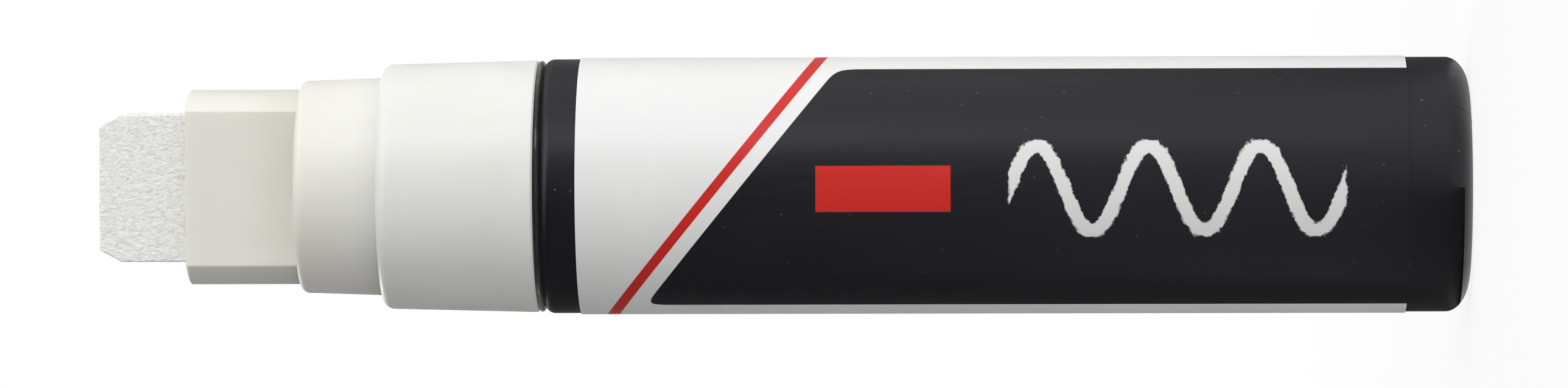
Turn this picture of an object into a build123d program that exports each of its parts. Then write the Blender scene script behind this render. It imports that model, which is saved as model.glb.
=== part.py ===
from build123d import *
import math
import os

# A broad liquid chalk marker with a sprung valve, standing on its base at Z = 0 with the nib up.
# Every size is in millimetres. The marker's axis is Z, and the nib's flat sides face -Y and +Y.

# Visible lengths, stacked along the axis from the base to the tip of the nib
BASE_TO_LABEL = 6.7
LABEL_LENGTH = 86.5
SHOULDER_BAND = 3.85
WASHER_THICKNESS = 0.6
COLLAR_LENGTH = 16.45
NECK_LENGTH = 8.7
NOZZLE_LENGTH = 11.7
NIB_REACH = 9.35

# Visible widths
LABEL_DIAMETER = 27.0
LABEL_FILM = 0.13
COLLAR_REAR_DIAMETER = 26.5
COLLAR_FRONT_DIAMETER = 25.7
NECK_REAR_DIAMETER = 22.9
NECK_FRONT_DIAMETER = 22.3
NOZZLE_DIAMETER = 20.5
NOZZLE_THICKNESS = 12.5
NIB_WIDTH = 15.6
NIB_THICKNESS = 8.0

# Rounded and bevelled edges
BASE_CORNER_RADIAL = 3.6
BASE_CORNER_AXIAL = 2.5
SHOULDER_RADIUS = 1.1
COLLAR_EDGE_RADIUS = 1.15
NECK_EDGE_RADIUS = 0.9
NOZZLE_EDGE_RADIUS = 0.3
NOZZLE_TIP_BREAK = 0.15
NIB_BEVEL_BACK = 2.35
NIB_BEVEL_IN = 1.25
NIB_EDGE_RADIUS = 0.2
EDGE_BREAK = 0.2

# Barrel: a moulded bottle with a dished base and a snap-on mouth
BARREL_WALL = 1.5
BASE_WALL = 2.0
BORE_CORNER = 2.2
BASE_DISH_RADIUS = 7.4
BASE_DISH_DEPTH = 0.6
GATE_NUB_RADIUS = 1.2
GATE_NUB_HEIGHT = 0.25
MOUTH_OUTER_RADIUS = 11.0
MOUTH_INNER_RADIUS = 9.5
MOUTH_HEIGHT = 10.9
SNAP_BEAD_HEIGHT = 0.25
SNAP_BEAD_WIDTH = 1.2
SNAP_BEAD_UP = 6.8

# Clear washer between the barrel's shoulder and the collar
WASHER_DIAMETER = 26.4
WASHER_CLEARANCE = 0.05

# Front section: one moulding with a skirt over the mouth, a feed bore and a slot for the nib
SKIRT_CLEARANCE = 0.15
GROOVE_CLEARANCE = 0.2
FEED_BORE_RADIUS = 9.2
NIB_CLEARANCE = 0.15
SLOT_DEPTH = 12.9
GUIDE_RIB_WIDTH = 1.2
GUIDE_RIB_SPREAD = 4.0
GUIDE_RIB_LENGTH = 7.0

# Valve: a housing in the mouth, a sprung stem that seals upward, a pusher and a ported retainer
FLANGE_THICKNESS = 1.2
FLANGE_CLEARANCE = 0.1
HOUSING_CLEARANCE = 0.05
HOUSING_LENGTH = 19.2
CHAMBER_RADIUS = 8.0
CUP_DEPTH = 3.7
SEAT_PLATE_THICKNESS = 0.9
SEAT_LIP_HEIGHT = 0.6
SEAT_LIP_INNER_RADIUS = 4.0
SEAT_LIP_OUTER_RADIUS = 4.8
ORIFICE_RADIUS = 3.7
GASKET_THICKNESS = 1.0
GASKET_INNER_RADIUS = 3.3
GASKET_OUTER_RADIUS = 5.8
STEM_FLANGE_RADIUS = 6.0
STEM_FLANGE_THICKNESS = 1.2
STEM_WEB_SPAN = 6.2
STEM_WEB_THICKNESS = 1.6
SPRING_BOSS_RADIUS = 3.3
SPRING_BOSS_HEIGHT = 1.5
GUIDE_PIN_RADIUS = 2.0
GUIDE_PIN_CLEARANCE = 0.15
GUIDE_PIN_BELOW_HOUSING = 1.7
PUSHER_RADIUS = 6.5
PUSHER_THICKNESS = 1.4
PUSHER_SOCKET_RADIUS = 4.2
PUSHER_SOCKET_DEPTH = 2.2
PUSHER_NOTCHES = 4
PUSHER_NOTCH_WIDTH = 2.0
PUSHER_NOTCH_DEPTH = 1.9
NIB_REAR_ABOVE_FLANGE = 3.4
RETAINER_THICKNESS = 1.5
RETAINER_ABOVE_END = 0.6
RETAINER_CLEARANCE = 0.05
RETAINER_BEAD_HEIGHT = 0.3
RETAINER_BEAD_WIDTH = 0.7
RETAINER_BOSS_HEIGHT = 1.2
INK_PORTS = 6
INK_PORT_RADIUS = 1.1
INK_PORT_CIRCLE_RADIUS = 6.3
SPRING_WIRE_DIAMETER = 0.7
SPRING_MEAN_RADIUS = 4.4
SPRING_TURNS = 5
SPRING_SEAT_GAP = 0.03

# Mixing balls: loose in the ink, at rest side by side on the floor of the barrel
BALL_RADIUS = 4.0
BALL_OFFSET = 6.5
BALL_FLOOR_GAP = 0.02

# Levels along the axis, worked out from the lengths above
LABEL_TOP = BASE_TO_LABEL + LABEL_LENGTH
SHOULDER_Z = LABEL_TOP + SHOULDER_BAND
COLLAR_Z = SHOULDER_Z + WASHER_THICKNESS
NECK_Z = COLLAR_Z + COLLAR_LENGTH
NOZZLE_Z = NECK_Z + NECK_LENGTH
NOZZLE_TIP_Z = NOZZLE_Z + NOZZLE_LENGTH
NIB_TIP_Z = NOZZLE_TIP_Z + NIB_REACH
MOUTH_TOP_Z = SHOULDER_Z + MOUTH_HEIGHT
SNAP_BEAD_Z = SHOULDER_Z + SNAP_BEAD_UP
FLANGE_TOP_Z = MOUTH_TOP_Z + FLANGE_THICKNESS
SLOT_Z = NOZZLE_TIP_Z - SLOT_DEPTH
NIB_REAR_Z = FLANGE_TOP_Z + NIB_REAR_ABOVE_FLANGE
PUSHER_Z = NIB_REAR_Z - PUSHER_THICKNESS
HOUSING_END_Z = FLANGE_TOP_Z - HOUSING_LENGTH
CUP_FLOOR_Z = FLANGE_TOP_Z - CUP_DEPTH
SEAT_PLATE_Z = CUP_FLOOR_Z - SEAT_PLATE_THICKNESS
SEAT_Z = SEAT_PLATE_Z - SEAT_LIP_HEIGHT
STEM_FLANGE_TOP_Z = SEAT_Z - GASKET_THICKNESS
STEM_FLANGE_Z = STEM_FLANGE_TOP_Z - STEM_FLANGE_THICKNESS
GUIDE_PIN_Z = HOUSING_END_Z - GUIDE_PIN_BELOW_HOUSING
RETAINER_Z = HOUSING_END_Z + RETAINER_ABOVE_END
RETAINER_TOP_Z = RETAINER_Z + RETAINER_THICKNESS
RETAINER_BEAD_Z = RETAINER_Z + RETAINER_THICKNESS / 2

# Radii worked out from the widths above
BARREL_RADIUS = LABEL_DIAMETER / 2 - LABEL_FILM
BARREL_BORE_RADIUS = BARREL_RADIUS - BARREL_WALL
SKIRT_RADIUS = MOUTH_OUTER_RADIUS + SKIRT_CLEARANCE
HOUSING_RADIUS = MOUTH_INNER_RADIUS - HOUSING_CLEARANCE
GUIDE_HOLE_RADIUS = GUIDE_PIN_RADIUS + GUIDE_PIN_CLEARANCE

ON_BASE = (Align.CENTER, Align.CENTER, Align.MIN)


def turned(*corners):
    """A solid turned about the axis from the corners (radius, height) of its half profile."""
    return revolve(make_face(Plane.XZ * Polyline(*corners, close=True)), axis=Axis.Z)


def disc(radius, bottom, top):
    """A cylinder on the axis between two levels."""
    return Pos(0, 0, bottom) * Cylinder(radius, top - bottom, align=ON_BASE)


def ring(inner_radius, outer_radius, bottom, top):
    """A flat ring on the axis between two levels."""
    return disc(outer_radius, bottom, top) - disc(inner_radius, bottom, top)


def block(width, depth, bottom, top):
    """A box centred on the axis between two levels."""
    return Pos(0, 0, bottom) * Box(width, depth, top - bottom, align=ON_BASE)


def bead_profile(radius, height, width, level):
    """The four corners, from the lower to the upper, of a ridge that stands out from a wall."""
    return [
        (radius, level - width / 2),
        (radius + height, level - width / 6),
        (radius + height, level + width / 6),
        (radius, level + width / 2),
    ]


def rim(part, radius, level):
    """The circular edge of that radius at that level."""
    circles = part.edges().filter_by(GeomType.CIRCLE)
    at_level = circles.filter_by(lambda edge: abs(edge.center().Z - level) < 0.01)
    return at_level.filter_by(lambda edge: abs(edge.radius - radius) < 0.01)


def make_barrel():
    """The ink bottle: dished base with a gate nub, straight wall, shoulder, and mouth with a snap bead."""
    land_radius = BARREL_RADIUS - BASE_CORNER_RADIAL
    nub_z = BASE_DISH_DEPTH - GATE_NUB_HEIGHT
    throat_z = SHOULDER_Z - BARREL_WALL
    cone_z = throat_z - (BARREL_BORE_RADIUS - MOUTH_INNER_RADIUS)
    with BuildPart() as bottle:
        with BuildSketch(Plane.XZ):
            with BuildLine():
                Polyline(
                    (0, BASE_WALL),
                    (0, nub_z),
                    (GATE_NUB_RADIUS, nub_z),
                    (GATE_NUB_RADIUS, BASE_DISH_DEPTH),
                    (BASE_DISH_RADIUS - BASE_DISH_DEPTH, BASE_DISH_DEPTH),
                    (BASE_DISH_RADIUS, 0),
                    (land_radius, 0),
                )
                EllipticalCenterArc(
                    (land_radius, BASE_CORNER_AXIAL), BASE_CORNER_RADIAL, BASE_CORNER_AXIAL, 270, arc_size=90
                )
                Line((BARREL_RADIUS, BASE_CORNER_AXIAL), (BARREL_RADIUS, SHOULDER_Z - SHOULDER_RADIUS))
                CenterArc(
                    (BARREL_RADIUS - SHOULDER_RADIUS, SHOULDER_Z - SHOULDER_RADIUS), SHOULDER_RADIUS, 0, 90
                )
                Polyline(
                    (BARREL_RADIUS - SHOULDER_RADIUS, SHOULDER_Z),
                    (MOUTH_OUTER_RADIUS, SHOULDER_Z),
                    *bead_profile(MOUTH_OUTER_RADIUS, SNAP_BEAD_HEIGHT, SNAP_BEAD_WIDTH, SNAP_BEAD_Z),
                    (MOUTH_OUTER_RADIUS, MOUTH_TOP_Z),
                    (MOUTH_INNER_RADIUS, MOUTH_TOP_Z),
                    (MOUTH_INNER_RADIUS, throat_z),
                    (BARREL_BORE_RADIUS, cone_z),
                    (BARREL_BORE_RADIUS, BASE_WALL + BORE_CORNER),
                    (BARREL_BORE_RADIUS - BORE_CORNER, BASE_WALL),
                    (0, BASE_WALL),
                )
            make_face()
        revolve(axis=Axis.Z)
    return bottle.part


def make_label_sleeve():
    """The printed film: a thin tube shrunk on the barrel."""
    return ring(BARREL_RADIUS, LABEL_DIAMETER / 2, BASE_TO_LABEL, LABEL_TOP)


def make_shoulder_washer():
    """The clear ring that the collar pinches on the barrel's shoulder, bevelled outside."""
    washer_radius = WASHER_DIAMETER / 2
    washer = ring(MOUTH_OUTER_RADIUS + WASHER_CLEARANCE, washer_radius, SHOULDER_Z, COLLAR_Z)
    outer_rims = rim(washer, washer_radius, SHOULDER_Z) + rim(washer, washer_radius, COLLAR_Z)
    return chamfer(outer_rims, EDGE_BREAK)


def make_nozzle():
    """The round bar with two flats that the nib leaves through, its long edges rounded."""
    round_bar = disc(NOZZLE_DIAMETER / 2, NECK_Z, NOZZLE_TIP_Z)
    nozzle = round_bar & block(NOZZLE_DIAMETER, NOZZLE_THICKNESS, NECK_Z, NOZZLE_TIP_Z)
    nozzle = fillet(nozzle.edges().filter_by(Axis.Z), NOZZLE_EDGE_RADIUS)
    return chamfer(nozzle.faces().sort_by(Axis.Z)[-1].edges(), NOZZLE_TIP_BREAK)


def make_guide_ribs():
    """Six ribs in the feed bore that carry on the four walls of the nib's slot."""
    bottom = SLOT_Z - GUIDE_RIB_LENGTH
    half_width = NIB_WIDTH / 2 + NIB_CLEARANCE
    half_thickness = NIB_THICKNESS / 2 + NIB_CLEARANCE
    ribs = block(2 * FEED_BORE_RADIUS + 1, GUIDE_RIB_WIDTH, bottom, SLOT_Z)
    for x in (-GUIDE_RIB_SPREAD, GUIDE_RIB_SPREAD):
        ribs += Pos(x, 0, 0) * block(GUIDE_RIB_WIDTH, 2 * FEED_BORE_RADIUS + 1, bottom, SLOT_Z)
    ribs -= block(2 * half_width, 2 * half_thickness, bottom, SLOT_Z)
    return ribs & disc(FEED_BORE_RADIUS + EDGE_BREAK, bottom, SLOT_Z)


def make_front_section():
    """The white moulding: skirt and collar, neck, and nozzle with the nib's slot."""
    collar_tip_radius = COLLAR_FRONT_DIAMETER / 2
    neck_tip_radius = NECK_FRONT_DIAMETER / 2
    body = turned(
        (0, COLLAR_Z),
        (COLLAR_REAR_DIAMETER / 2, COLLAR_Z),
        (collar_tip_radius, NECK_Z),
        (NECK_REAR_DIAMETER / 2, NECK_Z),
        (neck_tip_radius, NOZZLE_Z),
        (0, NOZZLE_Z),
    )
    body = fillet(rim(body, collar_tip_radius, NECK_Z), COLLAR_EDGE_RADIUS)
    body = fillet(rim(body, neck_tip_radius, NOZZLE_Z), NECK_EDGE_RADIUS)
    body = chamfer(rim(body, COLLAR_REAR_DIAMETER / 2, COLLAR_Z), EDGE_BREAK)
    groove = bead_profile(
        SKIRT_RADIUS, SNAP_BEAD_HEIGHT, SNAP_BEAD_WIDTH + 2 * GROOVE_CLEARANCE, SNAP_BEAD_Z
    )
    skirt_bore = turned(
        (0, COLLAR_Z - 1),
        (SKIRT_RADIUS, COLLAR_Z - 1),
        *groove,
        (SKIRT_RADIUS, FLANGE_TOP_Z),
        (FEED_BORE_RADIUS, FLANGE_TOP_Z),
        (FEED_BORE_RADIUS, SLOT_Z),
        (0, SLOT_Z),
    )
    nib_slot = block(
        NIB_WIDTH + 2 * NIB_CLEARANCE, NIB_THICKNESS + 2 * NIB_CLEARANCE, SLOT_Z - 1, NOZZLE_TIP_Z + 1
    )
    return body + make_nozzle() - skirt_bore - nib_slot + make_guide_ribs()


def make_nib():
    """The felt block: full width, with a long bevel on each of its two writing corners."""
    half_width = NIB_WIDTH / 2
    outline = Polyline(
        (-half_width, NIB_REAR_Z),
        (half_width, NIB_REAR_Z),
        (half_width, NIB_TIP_Z - NIB_BEVEL_BACK),
        (half_width - NIB_BEVEL_IN, NIB_TIP_Z),
        (NIB_BEVEL_IN - half_width, NIB_TIP_Z),
        (-half_width, NIB_TIP_Z - NIB_BEVEL_BACK),
        close=True,
    )
    felt = extrude(make_face(Plane.XZ * outline), NIB_THICKNESS / 2, both=True)
    front_edges = felt.edges().filter_by(lambda edge: edge.center().Z > NIB_REAR_Z + 1)
    return fillet(front_edges, NIB_EDGE_RADIUS)


def make_valve_housing():
    """The cup in the mouth: flange on the lip, orifice plate with a seat lip, spring chamber below."""
    flange_radius = SKIRT_RADIUS - FLANGE_CLEARANCE
    groove = bead_profile(CHAMBER_RADIUS, RETAINER_BEAD_HEIGHT, RETAINER_BEAD_WIDTH + 0.2, RETAINER_BEAD_Z)
    return turned(
        (HOUSING_RADIUS, HOUSING_END_Z),
        (HOUSING_RADIUS, MOUTH_TOP_Z),
        (flange_radius, MOUTH_TOP_Z),
        (flange_radius, FLANGE_TOP_Z),
        (CHAMBER_RADIUS, FLANGE_TOP_Z),
        (CHAMBER_RADIUS, CUP_FLOOR_Z),
        (ORIFICE_RADIUS, CUP_FLOOR_Z),
        (ORIFICE_RADIUS, SEAT_PLATE_Z),
        (SEAT_LIP_INNER_RADIUS, SEAT_PLATE_Z),
        (SEAT_LIP_INNER_RADIUS, SEAT_Z),
        (SEAT_LIP_OUTER_RADIUS, SEAT_Z),
        (SEAT_LIP_OUTER_RADIUS, SEAT_PLATE_Z),
        (CHAMBER_RADIUS, SEAT_PLATE_Z),
        *reversed(groove),
        (CHAMBER_RADIUS, HOUSING_END_Z),
    )


def make_valve_stem():
    """The moving valve: crossed webs through the orifice, sealing flange, spring boss and guide pin."""
    webs = block(STEM_WEB_SPAN, STEM_WEB_THICKNESS, STEM_FLANGE_TOP_Z, PUSHER_Z)
    webs += block(STEM_WEB_THICKNESS, STEM_WEB_SPAN, STEM_FLANGE_TOP_Z, PUSHER_Z)
    turned_end = turned(
        (0, GUIDE_PIN_Z),
        (GUIDE_PIN_RADIUS - EDGE_BREAK, GUIDE_PIN_Z),
        (GUIDE_PIN_RADIUS, GUIDE_PIN_Z + EDGE_BREAK),
        (GUIDE_PIN_RADIUS, STEM_FLANGE_Z - SPRING_BOSS_HEIGHT),
        (SPRING_BOSS_RADIUS, STEM_FLANGE_Z - SPRING_BOSS_HEIGHT),
        (SPRING_BOSS_RADIUS, STEM_FLANGE_Z),
        (STEM_FLANGE_RADIUS, STEM_FLANGE_Z),
        (STEM_FLANGE_RADIUS, STEM_FLANGE_TOP_Z),
        (0, STEM_FLANGE_TOP_Z),
    )
    return turned_end + webs


def make_nib_pusher():
    """The notched disc behind the nib, pressed on the top of the stem's webs by its socket."""
    socket_z = PUSHER_Z - PUSHER_SOCKET_DEPTH
    pusher = disc(PUSHER_RADIUS, PUSHER_Z, NIB_REAR_Z)
    pusher += ring(STEM_WEB_SPAN / 2 + EDGE_BREAK, PUSHER_SOCKET_RADIUS, socket_z, PUSHER_Z)
    notch = Pos(PUSHER_RADIUS, 0, 0) * block(
        2 * PUSHER_NOTCH_DEPTH, PUSHER_NOTCH_WIDTH, PUSHER_Z, NIB_REAR_Z
    )
    for turn in range(PUSHER_NOTCHES):
        pusher -= Rot(0, 0, 45 + 360 / PUSHER_NOTCHES * turn) * notch
    return pusher


def make_valve_gasket():
    """The rubber washer on the stem's flange, closed against the seat lip."""
    return ring(GASKET_INNER_RADIUS, GASKET_OUTER_RADIUS, STEM_FLANGE_TOP_Z, SEAT_Z)


def make_valve_spring():
    """A coil spring with its two ends ground flat; an eight-sided section stands for its round wire."""
    bottom = RETAINER_TOP_Z + SPRING_SEAT_GAP
    top = STEM_FLANGE_Z - SPRING_SEAT_GAP
    pitch = (top - bottom) / SPRING_TURNS
    coil = Helix(pitch, top - bottom, SPRING_MEAN_RADIUS, center=(0, 0, bottom))
    wire_end = Plane(origin=coil @ 0, z_dir=coil % 0) * RegularPolygon(SPRING_WIRE_DIAMETER / 2, 8)
    wire = sweep(wire_end, path=coil, is_frenet=True)
    rise = math.atan2(pitch, 2 * math.pi * SPRING_MEAN_RADIUS)
    print("least gap between turns of the spring, mm:", pitch * math.cos(rise) - SPRING_WIRE_DIAMETER)
    return wire & disc(CHAMBER_RADIUS, bottom, top)


def make_spring_retainer():
    """The disc snapped into the housing's end: spring seat, guide hole and a circle of ink ports."""
    edge_radius = CHAMBER_RADIUS - RETAINER_CLEARANCE
    bead = bead_profile(edge_radius, RETAINER_BEAD_HEIGHT, RETAINER_BEAD_WIDTH, RETAINER_BEAD_Z)
    retainer = turned(
        (GUIDE_HOLE_RADIUS, RETAINER_Z),
        (edge_radius, RETAINER_Z),
        *bead,
        (edge_radius, RETAINER_TOP_Z),
        (SPRING_BOSS_RADIUS, RETAINER_TOP_Z),
        (SPRING_BOSS_RADIUS, RETAINER_TOP_Z + RETAINER_BOSS_HEIGHT),
        (GUIDE_HOLE_RADIUS, RETAINER_TOP_Z + RETAINER_BOSS_HEIGHT),
    )
    for port in PolarLocations(INK_PORT_CIRCLE_RADIUS, INK_PORTS):
        retainer -= port * disc(INK_PORT_RADIUS, RETAINER_Z, RETAINER_TOP_Z)
    return retainer


def make_mixing_ball(x):
    """A steel ball at rest on the floor of the barrel."""
    return Pos(x, 0, BASE_WALL + BALL_RADIUS + BALL_FLOOR_GAP) * Sphere(BALL_RADIUS)


pieces = {
    "barrel": make_barrel(),
    "label_sleeve": make_label_sleeve(),
    "shoulder_washer": make_shoulder_washer(),
    "front_section": make_front_section(),
    "nib": make_nib(),
    "nib_pusher": make_nib_pusher(),
    "valve_housing": make_valve_housing(),
    "valve_stem": make_valve_stem(),
    "valve_gasket": make_valve_gasket(),
    "valve_spring": make_valve_spring(),
    "spring_retainer": make_spring_retainer(),
    "mixing_ball_1": make_mixing_ball(-BALL_OFFSET),
    "mixing_ball_2": make_mixing_ball(BALL_OFFSET),
}

os.makedirs("parts", exist_ok=True)
for name, piece in pieces.items():
    export_step(piece, f"parts/{name}.step")
    box = piece.bounding_box()
    print(name, len(piece.solids()), round(piece.volume, 2), box.min, box.max)
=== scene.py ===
import math
import random

import bmesh
import bpy
from mathutils import Matrix, Vector, noise
from mathutils.kdtree import KDTree


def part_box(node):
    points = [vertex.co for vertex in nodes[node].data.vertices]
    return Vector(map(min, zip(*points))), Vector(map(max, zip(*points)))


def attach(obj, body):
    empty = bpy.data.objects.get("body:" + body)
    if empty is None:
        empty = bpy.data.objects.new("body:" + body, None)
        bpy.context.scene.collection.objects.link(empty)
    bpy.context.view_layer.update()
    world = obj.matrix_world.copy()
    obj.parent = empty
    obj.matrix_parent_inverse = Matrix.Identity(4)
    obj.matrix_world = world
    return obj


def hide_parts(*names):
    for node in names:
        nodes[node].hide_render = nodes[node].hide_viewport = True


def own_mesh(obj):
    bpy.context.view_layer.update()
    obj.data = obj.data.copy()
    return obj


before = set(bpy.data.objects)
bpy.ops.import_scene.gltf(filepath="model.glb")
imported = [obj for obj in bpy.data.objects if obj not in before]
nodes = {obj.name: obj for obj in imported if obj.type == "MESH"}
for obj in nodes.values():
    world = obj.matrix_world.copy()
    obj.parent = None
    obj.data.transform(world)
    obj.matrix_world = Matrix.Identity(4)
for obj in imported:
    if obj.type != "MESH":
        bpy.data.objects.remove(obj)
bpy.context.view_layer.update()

# A broad liquid chalk marker standing on its base. Lengths are in metres, in the frame of the part:
# +Z runs from the base to the nib, and the nib's flat sides face -Y and +Y.

MM = 0.001

# Levels and radii of the pieces, taken from the frame
LABEL_LOW, LABEL_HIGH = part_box("label_sleeve")
BARREL_LOW, BARREL_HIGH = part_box("barrel")
NIB_LOW, NIB_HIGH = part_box("nib")
LABEL_RADIUS = LABEL_HIGH.x
BARREL_RADIUS = BARREL_HIGH.x
SHOULDER_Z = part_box("shoulder_washer")[0].z
NOZZLE_TIP_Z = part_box("front_section")[1].z

# The camera that took the photograph: nib to the left, the marker's axis level across the frame
CAMERA_LENS_MM = 181.5
CAMERA_SENSOR_MM = 36.0
CAMERA_PLACE = Vector((0.0218, -0.832, 0.0443))
CAMERA_AIM = Vector((-0.00087, 0.0, 0.0719))
CAMERA_ROLL = math.radians(-0.19)
CAMERA_CLIP = (0.01, 100)

# Studio: a pale floor in a white room, the main soft box beside the camera, a weaker one behind the marker,
# and cards that keep light off its other sides
FLOOR_SIZE = 8.0
FLOOR_DROP = 0.02 * MM
FLOOR_COLOUR = (0.9, 0.9, 0.9, 1)
FLOOR_GLOW_SHARE = 0.86
FLOOR_FADE = (0.15, 0.6)
ROOM_LIGHT = 1.01
SOFT_BOX_AIM = 0.07
MAIN_BOX_ANGLE = math.radians(27)
MAIN_BOX_DISTANCE = 0.58
MAIN_BOX_HEIGHT = 0.42
MAIN_BOX_SIDES = (0.8, 0.7)
MAIN_BOX_POWER = 3.35
FILL_BOX_ANGLE = math.radians(190)
FILL_BOX_DISTANCE = 0.5
FILL_BOX_HEIGHT = 0.48
FILL_BOX_SIDES = (0.5, 0.3)
FILL_BOX_POWER = 1.9
CARD_FOOT_Z = 0.001
CARD_TOP_Z = 0.64
CARD_BELOW_X = -0.45
CARD_FRONT_Y = -0.6
CARD_BACK_Y = 0.7
CARD_FRONT_END_X = 0.45
CARD_BACK_END_X = 1.5
FRONT_CARD_COLOUR = (0.16, 0.16, 0.16, 1)
BACK_CARD_COLOUR = (0.42, 0.42, 0.42, 1)
TOP_CARD_CORNERS = ((-0.45, -0.3), (0.35, -0.3), (0.35, 0.7), (-0.45, 0.7))
TOP_CARD_COLOUR = (0.42, 0.42, 0.42, 1)
LOW_CARD_CORNERS = ((-0.45, 0), (0.45, 0), (0.45, 0.7), (-0.45, 0.7))
BASE_CARD_CORNERS = ((-0.08, -0.08), (0, -0.08), (0, 0), (-0.08, 0))
BASE_CARD_COLOUR = (0.45, 0.45, 0.45, 1)

# Felt nib: an even grid of points, matted where it shows and plain further back in the nozzle, and fibres
# that arch out of the felt and back
FELT_SEED = 15
FELT_GRID = 0.1 * MM
FELT_PLAIN_DEPTH = 1 * MM
FELT_SINK = 0.05 * MM
FELT_LUMP_SIZE = 1.1 * MM
FELT_LUMP_DEPTH = 0.012 * MM
FELT_STRAND_SIZE = 0.3 * MM
FELT_STRAND_STRETCH = 0.4
FELT_STRAND_DEPTH = 0.1 * MM
FELT_WIND_SIZE = 4 * FELT_STRAND_SIZE
FELT_WIND = 0.5
FIBRE_COUNT = 5600
FIBRE_RADIUS = 0.036 * MM
FIBRE_LENGTHS = (0.3 * MM, 0.8 * MM)
FIBRE_LIFTS = (0.6, 1.6)
FIBRE_LEAN = math.radians(60)
FIBRE_CURL = 0.3
FIBRE_STEPS = 5
FIBRE_CORNERS = (math.pi / 2, 7 * math.pi / 6, 11 * math.pi / 6)
FIBRE_FACE_LIMIT = 0.95
TIP_FACE_LIMIT = 0.5

# Front section: height of the foot of its nozzle and of its neck, how far up from each foot painted shade
# darkens and yellows the crease, and how strongly
NOZZLE_FOOT_Z = 122.8 * MM
NECK_FOOT_Z = 114.1 * MM
SHADED_CREASES = ((NOZZLE_FOOT_Z, 7 * MM, 0.3), (NECK_FOOT_Z, 3 * MM, 0.2))

# Skin, streaks, felt and handling marks: a pair of limits is where a mask begins and where it is full
MOTTLE_LIMITS = (0.3, 0.7)
DUST_SPECK_LIMITS = (0.13, 0.05)
DUST_CHOICE_LIMITS = (0.8, 0.82)
SCRATCH_LEAN = (0.45, 0.3, 0.2)
SCRATCH_STRETCH = (1.0, 1.0, 0.07)
SCRATCH_HAIR_LIMITS = (0.1, 0.03)
SCRATCH_CHOICE_LIMITS = (0.84, 1.0)
FILM_STREAK_STRETCH = (1.0, 1.0, 0.03)
FILM_STREAK_LIMITS = (0.35, 0.65)
FILM_STREAK_RELIEF = 0.5
FELT_CLOUD_LIMITS = (0.35, 0.6)
FELT_PORE_SHADE_LIMITS = (0.5, 0.32)

# Colours: a pair runs from the darker to the lighter places of a finish
BARREL_BLACKS = ((0.0035, 0.0034, 0.0045, 1), (0.0055, 0.0053, 0.0069, 1))
BARREL_SCRATCH = (0.12, 0.12, 0.12, 1)
BARREL_DUST = (0.3, 0.29, 0.27, 1)
BLACK_SHEEN = (0.91, 0.89, 1.0, 1)
COLLAR_WHITES = ((0.85, 0.848, 0.81, 1), (0.87, 0.868, 0.835, 1))
NOZZLE_CREAMS = ((0.855, 0.835, 0.77, 1), (0.875, 0.855, 0.795, 1))
# Painted shade: the darkened, yellowed cream laid into the front section's creases
CREASE_SHADE_YELLOW = (0.64, 0.62, 0.53, 1)
SECTION_SCRATCH = (0.97, 0.96, 0.93, 1)
SECTION_DUST = (0.45, 0.42, 0.37, 1)
FILM_WHITES = ((0.87, 0.87, 0.86, 1), (0.89, 0.89, 0.88, 1))
FILM_DUST = (0.4, 0.39, 0.37, 1)
DARK_INK = (0.0058, 0.0056, 0.0085, 1)
RED_INK = (0.66, 0.022, 0.014, 1)
CHALK_INK = (0.84, 0.84, 0.82, 1)
WASHER_TINT = (0.93, 0.95, 0.95, 1)
FELT_WHITES = ((0.92, 0.922, 0.888, 1), (0.995, 0.996, 0.966, 1))
# Painted shade for the felt: grey in the pores between strands, darker in small pits
FELT_PORE_SHADE = (0.72, 0.712, 0.685, 1)
FELT_PIT_SHADE = (0.36, 0.35, 0.33, 1)
NATURAL_WHITES = ((0.78, 0.79, 0.77, 1), (0.83, 0.84, 0.82, 1))
RUBBER_BLACKS = ((0.02, 0.02, 0.02, 1), (0.04, 0.04, 0.039, 1))
WIRE_GREY = (0.58, 0.58, 0.6, 1)
BALL_GREY = (0.68, 0.68, 0.7, 1)
STEEL_SCRATCH = (0.4, 0.4, 0.41, 1)

# Roughness, from the glossier to the duller places of a finish, and what a streak adds on the film
BARREL_GLOSS = (0.36, 0.44)
SECTION_GLOSS = (0.36, 0.46)
FILM_GLOSS = (0.31, 0.37)
FILM_STREAK_GLOSS = 0.06
WASHER_GLOSS = (0.05, 0.16)
NATURAL_GLOSS = (0.4, 0.5)
RUBBER_GLOSS = (0.6, 0.78)
WIRE_GLOSS = (0.25, 0.38)
BALL_GLOSS = (0.1, 0.2)

# Mould parting line on the barrel, at two opposite places
PARTING_ANGLE = math.radians(40)
PARTING_WIDTH = 0.36 * MM
PARTING_HEIGHT = 0.02 * MM
PARTING_STEPS = 24
BASE_CORNER_RADIAL = 3.6 * MM
BASE_CORNER_AXIAL = 2.5 * MM
SHOULDER_RADIUS = 1.1 * MM

# Print on the label, measured back from its front edge and round from the side that faces -Y
PANEL_START = 17 * MM
PANEL_SLANT = 11 * MM
PANEL_HALF_WIDTH = 15.5 * MM
PANEL_CORNER = 3 * MM
STRIPE_GAP = 2.0 * MM
STRIPE_WIDTH = 1.3 * MM
BAR_MIDDLE = 32 * MM
BAR_HALF_LENGTH = 7 * MM
BAR_HALF_HEIGHT = 2.4 * MM
WAVE_START = 45 * MM
WAVE_END = 80 * MM
WAVE_LENGTH = 11.6 * MM
WAVE_HEIGHT = 4.4 * MM
WAVE_HALF_WIDTH = 0.75 * MM
CHALK_CRUMB = 0.9 * MM
CHALK_LIMITS = (0.6 * CHALK_CRUMB, 0.33 * CHALK_CRUMB)
PRINT_EDGE = 0.06 * MM
PRINT_DEPTH = 0.04 * MM

# Valve spring: round wire, its ends ground flat
SPRING_WIRE_RADIUS = 0.35 * MM
SPRING_TURNS = 5
SPRING_STEPS_PER_TURN = 40
SPRING_WIRE_SIDES = 14
SPRING_LEAST_EDGE = 0.001 * MM


# Node helpers

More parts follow.
